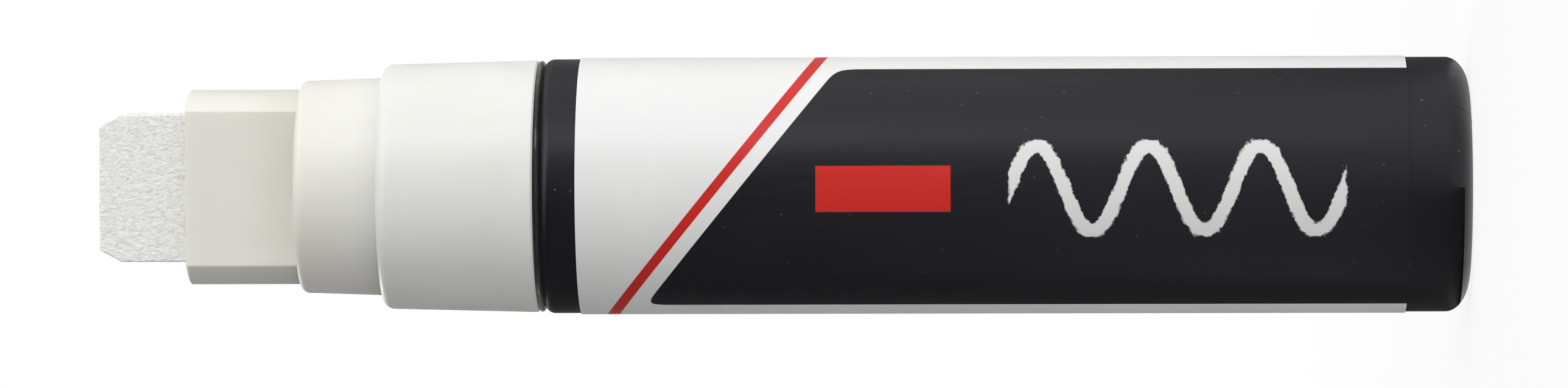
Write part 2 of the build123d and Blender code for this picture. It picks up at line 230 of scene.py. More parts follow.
def place(tree, kind, inputs=(), **settings):
    """A shader node with its settings; each input is linked where a socket is given and set otherwise."""
    made = tree.nodes.new("ShaderNode" + kind)
    for name, value in settings.items():
        setattr(made, name, value)
    for key, value in dict(inputs).items():
        if isinstance(value, bpy.types.NodeSocket):
            tree.links.new(value, made.inputs[key])
        else:
            made.inputs[key].default_value = value
    return made


def calc(tree, operation, *values):
    """The result of a math node on sockets or numbers."""
    return place(tree, "Math", dict(enumerate(values)), operation=operation).outputs[0]


def squared(tree, value):
    """A socket's value times itself."""
    return calc(tree, "MULTIPLY", value, value)


def step(tree, value, low, high):
    """A soft mask: 0 below low, 1 above high. With low above high it falls instead of rising."""
    reach = {"Value": value, "From Min": low, "From Max": high}
    return place(tree, "MapRange", reach, interpolation_type="SMOOTHSTEP").outputs["Result"]


def spread(tree, value, low, high):
    """A 0 to 1 value spread evenly between two numbers."""
    return place(tree, "MapRange", {"Value": value, "To Min": low, "To Max": high}).outputs["Result"]


def blend(tree, mask, under, over, strength=1):
    """One colour laid over another through a mask, in full or at a part of its strength."""
    if strength != 1:
        mask = calc(tree, "MULTIPLY", mask, strength)
    return place(tree, "Mix", {0: mask, 6: under, 7: over}, data_type="RGBA").outputs[2]


def new_group(name, inputs, outputs):
    """A shader node group with number inputs, each with its usual value, and named outputs."""
    group = bpy.data.node_groups.new(name, "ShaderNodeTree")
    for key, usual in inputs.items():
        socket = group.interface.new_socket(name=key, in_out="INPUT", socket_type="NodeSocketFloat")
        socket.default_value = usual
    for key in outputs:
        group.interface.new_socket(name=key, in_out="OUTPUT", socket_type="NodeSocketFloat")
    entry = group.nodes.new("NodeGroupInput")
    leave = group.nodes.new("NodeGroupOutput")
    return group, entry.outputs, leave.inputs


def use_group(tree, group, **values):
    """The outputs of a placed node group, its inputs set by name with underscores for spaces."""
    made = tree.nodes.new("ShaderNodeGroup")
    made.node_tree = group
    for key, value in values.items():
        made.inputs[key.replace("_", " ")].default_value = value
    return made.outputs


def new_finish(name, **constants):
    """A material with one Principled shader, whose constant sockets are set by name."""
    material = bpy.data.materials.new(name)
    material.use_nodes = True
    tree = material.node_tree
    tree.nodes.clear()
    shader = place(tree, "BsdfPrincipled")
    for key, value in constants.items():
        shader.inputs[key.replace("_", " ")].default_value = value
    output = tree.nodes.new("ShaderNodeOutputMaterial")
    tree.links.new(shader.outputs["BSDF"], output.inputs["Surface"])
    return material, tree, shader.inputs


def emboss(tree, shader, height, strength, depth):
    """Lets a height value tilt the surface's normal."""
    bump = place(tree, "Bump", {"Height": height, "Strength": strength, "Distance": depth})
    tree.links.new(bump.outputs["Normal"], shader["Normal"])


# Effects that several finishes share

def make_moulded_skin():
    """Fine grain and slow unevenness of a moulded or rolled surface."""
    group, entry, leave = new_group(
        "moulded_skin", {"Grain Scale": 3000.0, "Mottle Scale": 180.0}, ("Grain", "Mottle")
    )
    where = place(group, "TexCoord").outputs["Object"]
    grain = place(group, "TexNoise", {"Vector": where, "Scale": entry["Grain Scale"], "Detail": 3.0})
    mottle = place(group, "TexNoise", {"Vector": where, "Scale": entry["Mottle Scale"], "Detail": 4.0})
    group.links.new(grain.outputs["Fac"], leave["Grain"])
    group.links.new(step(group, mottle.outputs["Fac"], *MOTTLE_LIMITS), leave["Mottle"])
    return group


def make_handling_marks():
    """Specks of dust and short hair-fine scratches, as masks."""
    group, entry, leave = new_group(
        "handling_marks", {"Dust Scale": 700.0, "Scratch Scale": 1400.0}, ("Dust", "Scratches")
    )
    where = place(group, "TexCoord").outputs["Object"]
    cells = place(group, "TexVoronoi", {"Vector": where, "Scale": entry["Dust Scale"]})
    kind = place(group, "SeparateColor", {"Color": cells.outputs["Color"]})
    speck = step(group, cells.outputs["Distance"], *DUST_SPECK_LIMITS)
    chosen = step(group, kind.outputs["Red"], *DUST_CHOICE_LIMITS)
    group.links.new(calc(group, "MULTIPLY", speck, chosen), leave["Dust"])
    lean_and_stretch = {"Vector": where, "Rotation": SCRATCH_LEAN, "Scale": SCRATCH_STRETCH}
    drawn_out = place(group, "Mapping", lean_and_stretch).outputs["Vector"]
    strokes = place(group, "TexVoronoi", {"Vector": drawn_out, "Scale": entry["Scratch Scale"]})
    stroke_kind = place(group, "SeparateColor", {"Color": strokes.outputs["Color"]})
    hair = step(group, strokes.outputs["Distance"], *SCRATCH_HAIR_LIMITS)
    deep = step(group, stroke_kind.outputs["Red"], *SCRATCH_CHOICE_LIMITS)
    group.links.new(calc(group, "MULTIPLY", hair, deep), leave["Scratches"])
    return group


MOULDED_SKIN = make_moulded_skin()
HANDLING_MARKS = make_handling_marks()


# Finishes

def black_satin_plastic():
    """The barrel: near-black plastic with dust and fine scratches."""
    material, tree, shader = new_finish(
        "barrel_black_satin", Specular_IOR_Level=0.43, Specular_Tint=BLACK_SHEEN
    )
    skin = use_group(tree, MOULDED_SKIN, Grain_Scale=2600.0, Mottle_Scale=120.0)
    marks = use_group(tree, HANDLING_MARKS, Dust_Scale=760.0, Scratch_Scale=1300.0)
    black = blend(tree, skin["Mottle"], *BARREL_BLACKS)
    worn = blend(tree, marks["Scratches"], black, BARREL_SCRATCH, strength=0.25)
    dusty = blend(tree, marks["Dust"], worn, BARREL_DUST, strength=0.35)
    tree.links.new(dusty, shader["Base Color"])
    tree.links.new(spread(tree, skin["Mottle"], *BARREL_GLOSS), shader["Roughness"])
    emboss(tree, shader, skin["Grain"], strength=0.12, depth=0.03 * MM)
    return material


def off_white_plastic():
    """The front section: slightly translucent cream-white moulding."""
    material, tree, shader = new_finish(
        "front_section_off_white",
        Subsurface_Weight=0.35,
        Subsurface_Radius=(1.0, 0.85, 0.6),
        Subsurface_Scale=0.9 * MM,
    )
    skin = use_group(tree, MOULDED_SKIN, Grain_Scale=2400.0, Mottle_Scale=160.0)
    marks = use_group(tree, HANDLING_MARKS, Dust_Scale=900.0, Scratch_Scale=1500.0)
    height = place(tree, "SeparateXYZ", {"Vector": place(tree, "TexCoord").outputs["Object"]}).outputs["Z"]
    collar = blend(tree, skin["Mottle"], *COLLAR_WHITES)
    nozzle = blend(tree, skin["Mottle"], *NOZZLE_CREAMS)
    cream = blend(tree, step(tree, height, NECK_FOOT_Z, NOZZLE_FOOT_Z), collar, nozzle)
    # Painted shade: just above the foot of the nozzle and of the neck the cream darkens and yellows,
    # standing in for the shade in those creases
    for foot, reach, strength in SHADED_CREASES:
        above = calc(tree, "GREATER_THAN", height, foot)
        crease_shade = calc(tree, "MULTIPLY", step(tree, height, foot + reach, foot), above)
        cream = blend(tree, crease_shade, cream, CREASE_SHADE_YELLOW, strength)
    scuffed = blend(tree, marks["Scratches"], cream, SECTION_SCRATCH, strength=0.25)
    speckled = blend(tree, marks["Dust"], scuffed, SECTION_DUST, strength=0.12)
    tree.links.new(speckled, shader["Base Color"])
    tree.links.new(spread(tree, skin["Mottle"], *SECTION_GLOSS), shader["Roughness"])
    emboss(tree, shader, skin["Grain"], strength=0.15, depth=0.04 * MM)
    return material


def beyond(tree, value, middle, half):
    """How far a value lies outside a stretch with this middle and half length; negative inside it."""
    off_middle = calc(tree, "ABSOLUTE", calc(tree, "SUBTRACT", value, middle))
    return calc(tree, "SUBTRACT", off_middle, half)


def inked(tree, outside):
    """The mask of an inked area, from the distance outside its edge."""
    return step(tree, outside, PRINT_EDGE, -PRINT_EDGE)


def chalk_wave(tree, where, back, around):
    """The mask of a wavy chalk stroke with crumbled edges."""
    turn = 2 * math.pi / WAVE_LENGTH
    phase = calc(tree, "MULTIPLY", calc(tree, "SUBTRACT", back, WAVE_START), turn)
    crest = calc(tree, "MULTIPLY", calc(tree, "SINE", phase), WAVE_HEIGHT)
    slope = calc(tree, "MULTIPLY", calc(tree, "COSINE", phase), WAVE_HEIGHT * turn)
    lean = calc(tree, "SQRT", calc(tree, "MULTIPLY_ADD", slope, slope, 1.0))
    off_crest = calc(tree, "ABSOLUTE", calc(tree, "SUBTRACT", around, crest))
    off_stroke = calc(tree, "SUBTRACT", calc(tree, "DIVIDE", off_crest, lean), WAVE_HALF_WIDTH)
    past_end = beyond(tree, back, (WAVE_START + WAVE_END) / 2, (WAVE_END - WAVE_START) / 2)
    outside = calc(tree, "MAXIMUM", off_stroke, past_end)
    grit = place(tree, "TexNoise", {"Vector": where, "Scale": 1300.0, "Detail": 4.0, "Roughness": 0.7})
    crumbled = calc(tree, "MULTIPLY_ADD", grit.outputs["Fac"], CHALK_CRUMB, outside)
    return step(tree, crumbled, *CHALK_LIMITS)


def print_masks(tree):
    """Where the label's inks lie: the dark panel, the red stripe and bar, and the chalk stroke."""
    where = place(tree, "TexCoord").outputs["Object"]
    along = place(tree, "SeparateXYZ", {"Vector": where}).outputs
    back = calc(tree, "SUBTRACT", LABEL_HIGH.z, along["Z"])
    toward_front = calc(tree, "MULTIPLY", along["Y"], -1)
    around = calc(tree, "MULTIPLY", calc(tree, "ARCTAN2", along["X"], toward_front), LABEL_RADIUS)

    slanted_edge = calc(tree, "MULTIPLY_ADD", along["X"], PANEL_SLANT / LABEL_RADIUS, PANEL_START)
    before_edge = calc(tree, "SUBTRACT", slanted_edge, back)
    beside = beyond(tree, around, 0, PANEL_HALF_WIDTH)
    panel = inked(tree, calc(tree, "SMOOTH_MAX", before_edge, beside, PANEL_CORNER))
    stripe = inked(tree, beyond(tree, before_edge, STRIPE_GAP + STRIPE_WIDTH / 2, STRIPE_WIDTH / 2))
    bar_ends = beyond(tree, back, BAR_MIDDLE, BAR_HALF_LENGTH)
    bar_sides = beyond(tree, around, 0, BAR_HALF_HEIGHT)
    bar = inked(tree, calc(tree, "MAXIMUM", bar_ends, bar_sides))
    chalk = chalk_wave(tree, where, back, around)

    from_axis = calc(tree, "SQRT", calc(tree, "ADD", squared(tree, along["X"]), squared(tree, along["Y"])))
    outer_face = calc(tree, "GREATER_THAN", from_axis, LABEL_RADIUS - PRINT_DEPTH)
    inks = (panel, calc(tree, "MAXIMUM", stripe, bar), chalk)
    return [calc(tree, "MULTIPLY", ink, outer_face) for ink in inks]


def film_streaks(tree):
    """Fine lines along the film, in the direction it was drawn."""
    where = place(tree, "TexCoord").outputs["Object"]
    drawn_out = place(tree, "Mapping", {"Vector": where, "Scale": FILM_STREAK_STRETCH})
    lines = place(tree, "TexNoise", {"Vector": drawn_out.outputs["Vector"], "Scale": 5000.0, "Detail": 3.0})
    return step(tree, lines.outputs["Fac"], *FILM_STREAK_LIMITS)


def printed_film():
    """The label: semi-gloss white film with a slanted dark panel, red accents and a chalk stroke."""
    material, tree, shader = new_finish(
        "label_printed_film", Specular_IOR_Level=0.43, Specular_Tint=BLACK_SHEEN
    )
    panel, red, chalk = print_masks(tree)
    streaks = film_streaks(tree)
    skin = use_group(tree, MOULDED_SKIN, Grain_Scale=1800.0, Mottle_Scale=90.0)
    marks = use_group(tree, HANDLING_MARKS, Dust_Scale=800.0, Scratch_Scale=1200.0)
    film = blend(tree, skin["Mottle"], *FILM_WHITES)
    dark = blend(tree, panel, film, DARK_INK)
    drawn = blend(tree, chalk, dark, CHALK_INK)
    accented = blend(tree, red, drawn, RED_INK)
    dusty = blend(tree, marks["Dust"], accented, FILM_DUST, strength=0.12)
    tree.links.new(dusty, shader["Base Color"])
    film_gloss = spread(tree, skin["Mottle"], *FILM_GLOSS)
    gloss = calc(tree, "MULTIPLY_ADD", streaks, FILM_STREAK_GLOSS, film_gloss)
    tree.links.new(gloss, shader["Roughness"])
    relief = calc(tree, "MULTIPLY_ADD", streaks, FILM_STREAK_RELIEF, skin["Grain"])
    emboss(tree, shader, relief, strength=0.08, depth=0.03 * MM)
    return material


def clear_plastic():
    """The washer: clear, with a slightly uneven gloss."""
    material, tree, shader = new_finish(
        "washer_clear", Base_Color=WASHER_TINT, Transmission_Weight=1.0, IOR=1.49
    )
    skin = use_group(tree, MOULDED_SKIN, Grain_Scale=2000.0, Mottle_Scale=400.0)
    tree.links.new(spread(tree, skin["Mottle"], *WASHER_GLOSS), shader["Roughness"])
    emboss(tree, shader, skin["Grain"], strength=0.08, depth=0.03 * MM)
    return material


def felt_finish(name, pore_shade_strength, bump_strength):
    """Matted white felt: cloudy white, with painted shade greying the pores between strands and small pits.
    """
    material, tree, shader = new_finish(
        name, Roughness=0.95, Sheen_Weight=0.25, Sheen_Roughness=0.5, Specular_IOR_Level=0.2
    )
    where = place(tree, "TexCoord").outputs["Object"]
    drawn_out = place(tree, "Mapping", {"Vector": where, "Scale": (1.0, 1.0, FELT_STRAND_STRETCH)})
    strands = place(
        tree,
        "TexNoise",
        {"Vector": drawn_out.outputs["Vector"], "Scale": 5200.0, "Detail": 4.0, "Distortion": 1.5},
    )
    cloud = place(tree, "TexNoise", {"Vector": where, "Scale": 1500.0, "Detail": 3.0})
    thick = step(tree, cloud.outputs["Fac"], *FELT_CLOUD_LIMITS)
    white = blend(tree, thick, *FELT_WHITES)
    # Painted shade: grey in the pores between strands and in small pits, standing in for the shade inside
    # them
    pores = step(tree, strands.outputs["Fac"], *FELT_PORE_SHADE_LIMITS)
    pore_shaded = blend(tree, pores, white, FELT_PORE_SHADE, pore_shade_strength)
    marks = use_group(tree, HANDLING_MARKS, Dust_Scale=900.0)
    pit_shaded = blend(tree, marks["Dust"], pore_shaded, FELT_PIT_SHADE, pore_shade_strength)
    tree.links.new(pit_shaded, shader["Base Color"])
    if bump_strength:
        emboss(tree, shader, strands.outputs["Fac"], bump_strength, depth=0.06 * MM)
    return material


def natural_plastic():
    """The valve's mouldings: uncoloured plastic."""
    material, tree, shader = new_finish(
        "valve_natural_plastic",
        Subsurface_Weight=0.3,
        Subsurface_Radius=(1.0, 1.0, 0.9),
        Subsurface_Scale=0.8 * MM,
    )
    skin = use_group(tree, MOULDED_SKIN, Grain_Scale=2800.0, Mottle_Scale=220.0)
    tree.links.new(blend(tree, skin["Mottle"], *NATURAL_WHITES), shader["Base Color"])
    tree.links.new(spread(tree, skin["Mottle"], *NATURAL_GLOSS), shader["Roughness"])
    emboss(tree, shader, skin["Grain"], strength=0.15, depth=0.04 * MM)
    return material


def gasket_rubber():
    """The valve's washer: matt black rubber with a bloom."""
    material, tree, shader = new_finish("gasket_black_rubber", Specular_IOR_Level=0.3)
    skin = use_group(tree, MOULDED_SKIN, Grain_Scale=5200.0, Mottle_Scale=700.0)
    tree.links.new(blend(tree, skin["Mottle"], *RUBBER_BLACKS), shader["Base Color"])
    tree.links.new(spread(tree, skin["Mottle"], *RUBBER_GLOSS), shader["Roughness"])
    emboss(tree, shader, skin["Grain"], strength=0.3, depth=0.04 * MM)
    return material


def bright_steel(name, colour, gloss):
    """Drawn wire or polished balls, with fine marks in the polish."""
    material, tree, shader = new_finish(name, Metallic=1.0)
    skin = use_group(tree, MOULDED_SKIN, Grain_Scale=4200.0, Mottle_Scale=500.0)
    marks = use_group(tree, HANDLING_MARKS, Dust_Scale=900.0, Scratch_Scale=2400.0)
    worn = blend(tree, marks["Scratches"], colour, STEEL_SCRATCH, strength=0.3)
    tree.links.new(worn, shader["Base Color"])
    tree.links.new(spread(tree, skin["Mottle"], *gloss), shader["Roughness"])
    emboss(tree, shader, skin["Grain"], strength=0.08, depth=0.02 * MM)
    return material


BLACK_PLASTIC = black_satin_plastic()
NIB_FELT = felt_finish("nib_white_felt", pore_shade_strength=0.85, bump_strength=0.4)
LOOSE_FIBRE = felt_finish("nib_loose_fibre", pore_shade_strength=0.1, bump_strength=0)
NATURAL_PLASTIC = natural_plastic()
SPRING_STEEL = bright_steel("spring_drawn_wire", WIRE_GREY, WIRE_GLOSS)
BALL_STEEL = bright_steel("ball_polished_steel", BALL_GREY, BALL_GLOSS)

NODE_FINISHES = {
    "barrel": BLACK_PLASTIC,
    "label_sleeve": printed_film(),
    "shoulder_washer": clear_plastic(),
    "front_section": off_white_plastic(),
    "nib_pusher": NATURAL_PLASTIC,
    "valve_housing": NATURAL_PLASTIC,
    "valve_stem": NATURAL_PLASTIC,
    "spring_retainer": NATURAL_PLASTIC,
    "valve_gasket": gasket_rubber(),
    "mixing_ball_1": BALL_STEEL,
    "mixing_ball_2": BALL_STEEL,
}
for node_name, finish in NODE_FINISHES.items():
    for slot in nodes[node_name].material_slots:
        slot.material = finish


# Pieces

def add_piece(name, mesh, material, body):
    """Puts a mesh in the scene as a piece that rides on a body."""
    piece = bpy.data.objects.new(name, mesh)
    bpy.context.scene.collection.objects.link(piece)
    mesh.materials.clear()
    mesh.materials.append(material)
    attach(piece, body)
    return piece


def even_grid_copy(source, grid):
    """A closed copy of a node's mesh with points at an even spacing."""
    draft = bpy.data.objects.new("felt_draft", source.data.copy())
    bpy.context.scene.collection.objects.link(draft)
    remesh = draft.modifiers.new("even_grid", "REMESH")
    remesh.mode = "VOXEL"
    remesh.voxel_size = grid
    remesh.use_smooth_shade = True
    bpy.context.view_layer.update()
    shaped = draft.evaluated_get(bpy.context.evaluated_depsgraph_get())
    mesh = bpy.data.meshes.new_from_object(shaped)
    bpy.data.objects.remove(draft)
    return mesh


def inside_nib(point, margin=0.0):
    """The nearest point in the nib's box, with a margin inside its faces."""
    return Vector(
        max(low + margin, min(high - margin, value)) for low, value, high in zip(NIB_LOW, point, NIB_HIGH)
    )


def felt_depth(point):
    """How far the matted felt lies under the nib's plain shape: low lumps, and strands along its length."""
    drawn_out = Vector((point.x, point.y, point.z * FELT_STRAND_STRETCH))
    wind = noise.noise_vector(point / FELT_WIND_SIZE) * FELT_WIND
    strand = abs(noise.noise(drawn_out / FELT_STRAND_SIZE + wind))
    return FELT_SINK + FELT_LUMP_DEPTH * noise.noise(point / FELT_LUMP_SIZE) + FELT_STRAND_DEPTH * strand


def straighten_hidden_felt(mesh):
    """Gives the felt that always stays out of sight in the nozzle plain straight sides."""
    draft = bmesh.new()
    draft.from_mesh(mesh)
    everything = draft.verts[:] + draft.edges[:] + draft.faces[:]
    cut = (0, 0, NOZZLE_TIP_Z - FELT_PLAIN_DEPTH)
    bmesh.ops.bisect_plane(draft, geom=everything, plane_co=cut, plane_no=(0, 0, -1), clear_outer=True)
    rim = [edge for edge in draft.edges if edge.is_boundary]
    for drawn in bmesh.ops.extrude_edge_only(draft, edges=rim)["geom"]:
        if isinstance(drawn, bmesh.types.BMVert):
            drawn.co.z = NIB_LOW.z + FELT_SINK
    bmesh.ops.holes_fill(draft, edges=[edge for edge in draft.edges if edge.is_boundary])
    bmesh.ops.recalc_face_normals(draft, faces=draft.faces)
    draft.to_mesh(mesh)
    draft.free()


def make_felt_nib():
    """The nib's felt block with a matted surface. Returns its points outside the nozzle, with normals."""
    noise.seed_set(FELT_SEED)
    mesh = even_grid_copy(nodes["nib"], FELT_GRID)
    surface = []
    for vertex in mesh.vertices:
        out = vertex.normal.copy()
        surface.append((inside_nib(vertex.co - out * felt_depth(vertex.co)), out))
    for vertex, (spot, _) in zip(mesh.vertices, surface):
        vertex.co = spot
    straighten_hidden_felt(mesh)
    piece = add_piece("nib_felt_block", mesh, NIB_FELT, "nib")
    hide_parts("nib")
    return [(spot, out) for spot, out in surface if spot.z > NOZZLE_TIP_Z]


def fibre_heading(out, dice):
    """A direction on the felt: mostly along the nib, and any way on its tip."""
    lengthwise = Vector((0, 0, 1)) - out * out.z
    if lengthwise.length < TIP_FACE_LIMIT:
        return Matrix.Rotation(dice.uniform(0, 2 * math.pi), 3, out) @ out.orthogonal().normalized()
    return Matrix.Rotation(dice.uniform(-FIBRE_LEAN, FIBRE_LEAN), 3, out) @ lengthwise.normalized()


def fibre_rings(surface, finder, dice):
    """Rings of three points along a fibre that arches out of the felt; none if it would cross an edge."""
    spot, face_out = dice.choice(surface)
    heading = fibre_heading(face_out, dice)
    stride = dice.uniform(*FIBRE_LENGTHS) / FIBRE_STEPS
    curl = dice.uniform(-FIBRE_CURL, FIBRE_CURL)
    lift = FIBRE_RADIUS * dice.uniform(*FIBRE_LIFTS)
    out = face_out
    rings = []
    for stage in range(FIBRE_STEPS + 1):
        if out.dot(face_out) < FIBRE_FACE_LIMIT:
            return []
        arch = lift * math.sin(math.pi * stage / FIBRE_STEPS) - FIBRE_RADIUS
        middle = inside_nib(spot + out * arch, FIBRE_RADIUS)
        across = heading.cross(out).normalized()
        rings.append([
            middle + (across * math.cos(turn) + out * math.sin(turn)) * FIBRE_RADIUS
            for turn in FIBRE_CORNERS
        ])
        ahead = spot + heading * stride
        nearest, index = finder.find(ahead)[:2]
        out = surface[index][1]
        spot = ahead - out * (ahead - nearest).dot(out)
        heading = Matrix.Rotation(curl, 3, out) @ heading
        heading = (heading - out * heading.dot(out)).normalized()
    return rings


def make_loose_fibres(surface):
    """Short curled fibres that arch out of the felt and back into it."""
    dice = random.Random(FELT_SEED)
    finder = KDTree(len(surface))
    for index, (spot, _) in enumerate(surface):
        finder.insert(spot, index)
    finder.balance()
    draft = bmesh.new()
    for _ in range(FIBRE_COUNT):
        rings = [[draft.verts.new(point) for point in ring] for ring in fibre_rings(surface, finder, dice)]
        for ring, after in zip(rings, rings[1:]):
            for corner in range(3):
                follow = (corner + 1) % 3
                draft.faces.new((ring[corner], ring[follow], after[follow], after[corner]))
        for end in rings[:1] + rings[-1:]:
            draft.faces.new(end)
    bmesh.ops.recalc_face_normals(draft, faces=draft.faces)
    for face in draft.faces:
        face.smooth = True
    mesh = bpy.data.meshes.new("nib_loose_fibres")
    draft.to_mesh(mesh)
    draft.free()
    add_piece("nib_loose_fibres", mesh, LOOSE_FIBRE, "nib")


def barrel_profile():
    """Points (radius, height) up the barrel where it shows: base corner to label, label to shoulder."""
    land = BARREL_RADIUS - BASE_CORNER_RADIAL
    rear = []
    for stage in range(PARTING_STEPS + 1):
        turn = math.pi / 2 * stage / PARTING_STEPS
        rear.append((land + BASE_CORNER_RADIAL * math.sin(turn), BASE_CORNER_AXIAL * (1 - math.cos(turn))))
    rear.append((BARREL_RADIUS, LABEL_LOW.z))
    front = [(BARREL_RADIUS, LABEL_HIGH.z)]
    for stage in range(PARTING_STEPS + 1):
        turn = math.pi / 2 * stage / PARTING_STEPS
        front.append((
            BARREL_RADIUS - SHOULDER_RADIUS * (1 - math.cos(turn)),
            SHOULDER_Z - SHOULDER_RADIUS * (1 - math.sin(turn)),
        ))
    return rear, front


def make_parting_line():
    """The fine ridge that the two halves of the mould leave along the barrel."""
    draft = bmesh.new()
    for angle in (PARTING_ANGLE, PARTING_ANGLE + math.pi):
        outward = Vector((math.sin(angle), -math.cos(angle), 0))
        sideways = Vector((math.cos(angle), math.sin(angle), 0))
        for run in barrel_profile():
            rows = []
            for index, (radius, height) in enumerate(run):
                before = run[max(index - 1, 0)]
                after = run[min(index + 1, len(run) - 1)]
                lift = Vector((after[1] - before[1], 0, before[0] - after[0])).normalized()
                out = outward * lift.x + Vector((0, 0, lift.z))
                foot = outward * radius + Vector((0, 0, height))
                rows.append([
                    draft.verts.new(foot - sideways * PARTING_WIDTH / 2 - out * PARTING_HEIGHT),
                    draft.verts.new(foot + out * PARTING_HEIGHT),
                    draft.verts.new(foot + sideways * PARTING_WIDTH / 2 - out * PARTING_HEIGHT),
                ])
            for row, follow in zip(rows, rows[1:]):
                for corner in range(3):
                    beside = (corner + 1) % 3
                    draft.faces.new((row[corner], row[beside], follow[beside], follow[corner]))
            draft.faces.new(reversed(rows[0]))
            draft.faces.new(rows[-1])
    for vertex in draft.verts:
        vertex.co.z = max(vertex.co.z, BARREL_LOW.z)
    bmesh.ops.recalc_face_normals(draft, faces=draft.faces)
    mesh = bpy.data.meshes.new("barrel_parting_line")
    draft.to_mesh(mesh)
    draft.free()
    add_piece("barrel_parting_line", mesh, BLACK_PLASTIC, "shell")


def make_valve_spring():
    """The coil spring of round wire, which shortens as the valve opens."""
    low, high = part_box("valve_spring")
    length = high.z - low.z
    mean_radius = high.x - SPRING_WIRE_RADIUS
    steps = SPRING_TURNS * SPRING_STEPS_PER_TURN
    rise = math.atan2(length / SPRING_TURNS, 2 * math.pi * mean_radius)
    draft = bmesh.new()
    rings = []
    for stage in range(steps + 1):
        turn = 2 * math.pi * stage / SPRING_STEPS_PER_TURN
        out = Vector((math.cos(turn), math.sin(turn), 0))
        along = Vector((-math.sin(turn) * math.cos(rise), math.cos(turn) * math.cos(rise), math.sin(rise)))
        across = out.cross(along)
        middle = out * mean_radius + Vector((0, 0, low.z + length * stage / steps))
        rings.append([])
        for side in range(SPRING_WIRE_SIDES):
            angle = 2 * math.pi * side / SPRING_WIRE_SIDES
            offset = (out * math.cos(angle) + across * math.sin(angle)) * SPRING_WIRE_RADIUS
            rings[-1].append(draft.verts.new(middle + offset))
    for ring, after in zip(rings, rings[1:]):
        for side in range(SPRING_WIRE_SIDES):
            beside = (side + 1) % SPRING_WIRE_SIDES
            draft.faces.new((ring[side], ring[beside], after[beside], after[side]))
    draft.faces.new(reversed(rings[0]))
    draft.faces.new(rings[-1])
    for height, away in ((low.z, -1), (high.z, 1)):
        everything = draft.verts[:] + draft.edges[:] + draft.faces[:]
        bmesh.ops.bisect_plane(
            draft, geom=everything, plane_co=(0, 0, height), plane_no=(0, 0, away), clear_outer=True
        )
        bmesh.ops.holes_fill(draft, edges=[edge for edge in draft.edges if edge.is_boundary])
    bmesh.ops.dissolve_degenerate(draft, dist=SPRING_LEAST_EDGE, edges=draft.edges)
    bmesh.ops.recalc_face_normals(draft, faces=draft.faces)
    for face in draft.faces:
        face.smooth = len(face.verts) == 4
    mesh = bpy.data.meshes.new("valve_spring_wire")
    draft.to_mesh(mesh)
    draft.free()
    piece = add_piece("valve_spring_wire", mesh, SPRING_STEEL, "shell")
    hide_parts("valve_spring")
    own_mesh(piece)


felt_surface = make_felt_nib()
make_loose_fibres(felt_surface)
make_parting_line()
make_valve_spring()


# Studio

def background_rays(tree):
    """1 for rays that look straight, by gloss or through clear plastic at the background, else 0."""
    path = place(tree, "LightPath").outputs
    seen = calc(tree, "MAXIMUM", path["Is Camera Ray"], path["Is Glossy Ray"])
    return calc(tree, "MAXIMUM", seen, path["Is Transmission Ray"])


def make_room():
    """The white surround: plain room light, and white where it is seen."""
    world = bpy.data.worlds.new("white_room")
    bpy.context.scene.world = world
    world.use_nodes = True
    tree = world.node_tree
    tree.nodes.clear()
    room = place(tree, "Background", {"Color": (1, 1, 1, 1), "Strength": ROOM_LIGHT})
    white = place(tree, "Background", {"Color": (1, 1, 1, 1), "Strength": 1.0})
    mix = place(tree, "MixShader", {0: background_rays(tree), 1: room.outputs[0], 2: white.outputs[0]})
    output = tree.nodes.new("ShaderNodeOutputWorld")
    tree.links.new(mix.outputs[0], output.inputs["Surface"])


def add_sheet(name, corners, faces, material):
    """A plain sheet of the studio."""
    mesh = bpy.data.meshes.new(name)
    mesh.from_pydata(corners, [], faces)
    mesh.materials.append(material)
    sheet = bpy.data.objects.new(name, mesh)
    bpy.context.scene.collection.objects.link(sheet)
    return sheet


def make_floor():
    """A pale floor that keeps the marker's shadow and otherwise shows as white as the room."""
    material = bpy.data.materials.new("pale_floor")
    material.use_nodes = True
    tree = material.node_tree
    tree.nodes.clear()
    paint = place(tree, "BsdfDiffuse", {"Color": FLOOR_COLOUR})
    glow = place(tree, "Emission", {"Color": (1, 1, 1, 1), "Strength": 1.0})
    spot = place(tree, "TexCoord").outputs["Object"]
    from_marker = place(tree, "VectorMath", {0: spot}, operation="LENGTH").outputs["Value"]
    glow_share = spread(tree, step(tree, from_marker, *FLOOR_FADE), FLOOR_GLOW_SHARE, 1.0)
    share = calc(tree, "MULTIPLY", background_rays(tree), glow_share)
    mix = place(tree, "MixShader", {0: share, 1: paint.outputs[0], 2: glow.outputs[0]})
    output = tree.nodes.new("ShaderNodeOutputMaterial")
    tree.links.new(mix.outputs[0], output.inputs["Surface"])
    half = FLOOR_SIZE / 2
    level = BARREL_LOW.z - FLOOR_DROP
    corners = [(-half, -half, level), (half, -half, level), (half, half, level), (-half, half, level)]
    add_sheet("floor", corners, [(0, 1, 2, 3)], material)


def make_card(name, colour, corners, panels):
    """A card that keeps light off the marker, out of the camera's sight."""
    material = bpy.data.materials.new(name)
    material.use_nodes = True
    tree = material.node_tree
    tree.nodes.clear()
    paint = place(tree, "BsdfDiffuse", {"Color": colour})
    output = tree.nodes.new("ShaderNodeOutputMaterial")
    tree.links.new(paint.outputs[0], output.inputs["Surface"])
    card = add_sheet(name, corners, panels, material)
    card.visible_camera = False
    card.visible_transmission = False
    return card


def make_standing_card(name, colour, outline):
    """A folded card that stands on the floor along an outline."""
    corners = [(x, y, z) for z in (CARD_FOOT_Z, CARD_TOP_Z) for x, y in outline]
    folds = len(outline)
    panels = [(fold, fold + 1, fold + 1 + folds, fold + folds) for fold in range(folds - 1)]
    make_card(name, colour, corners, panels)


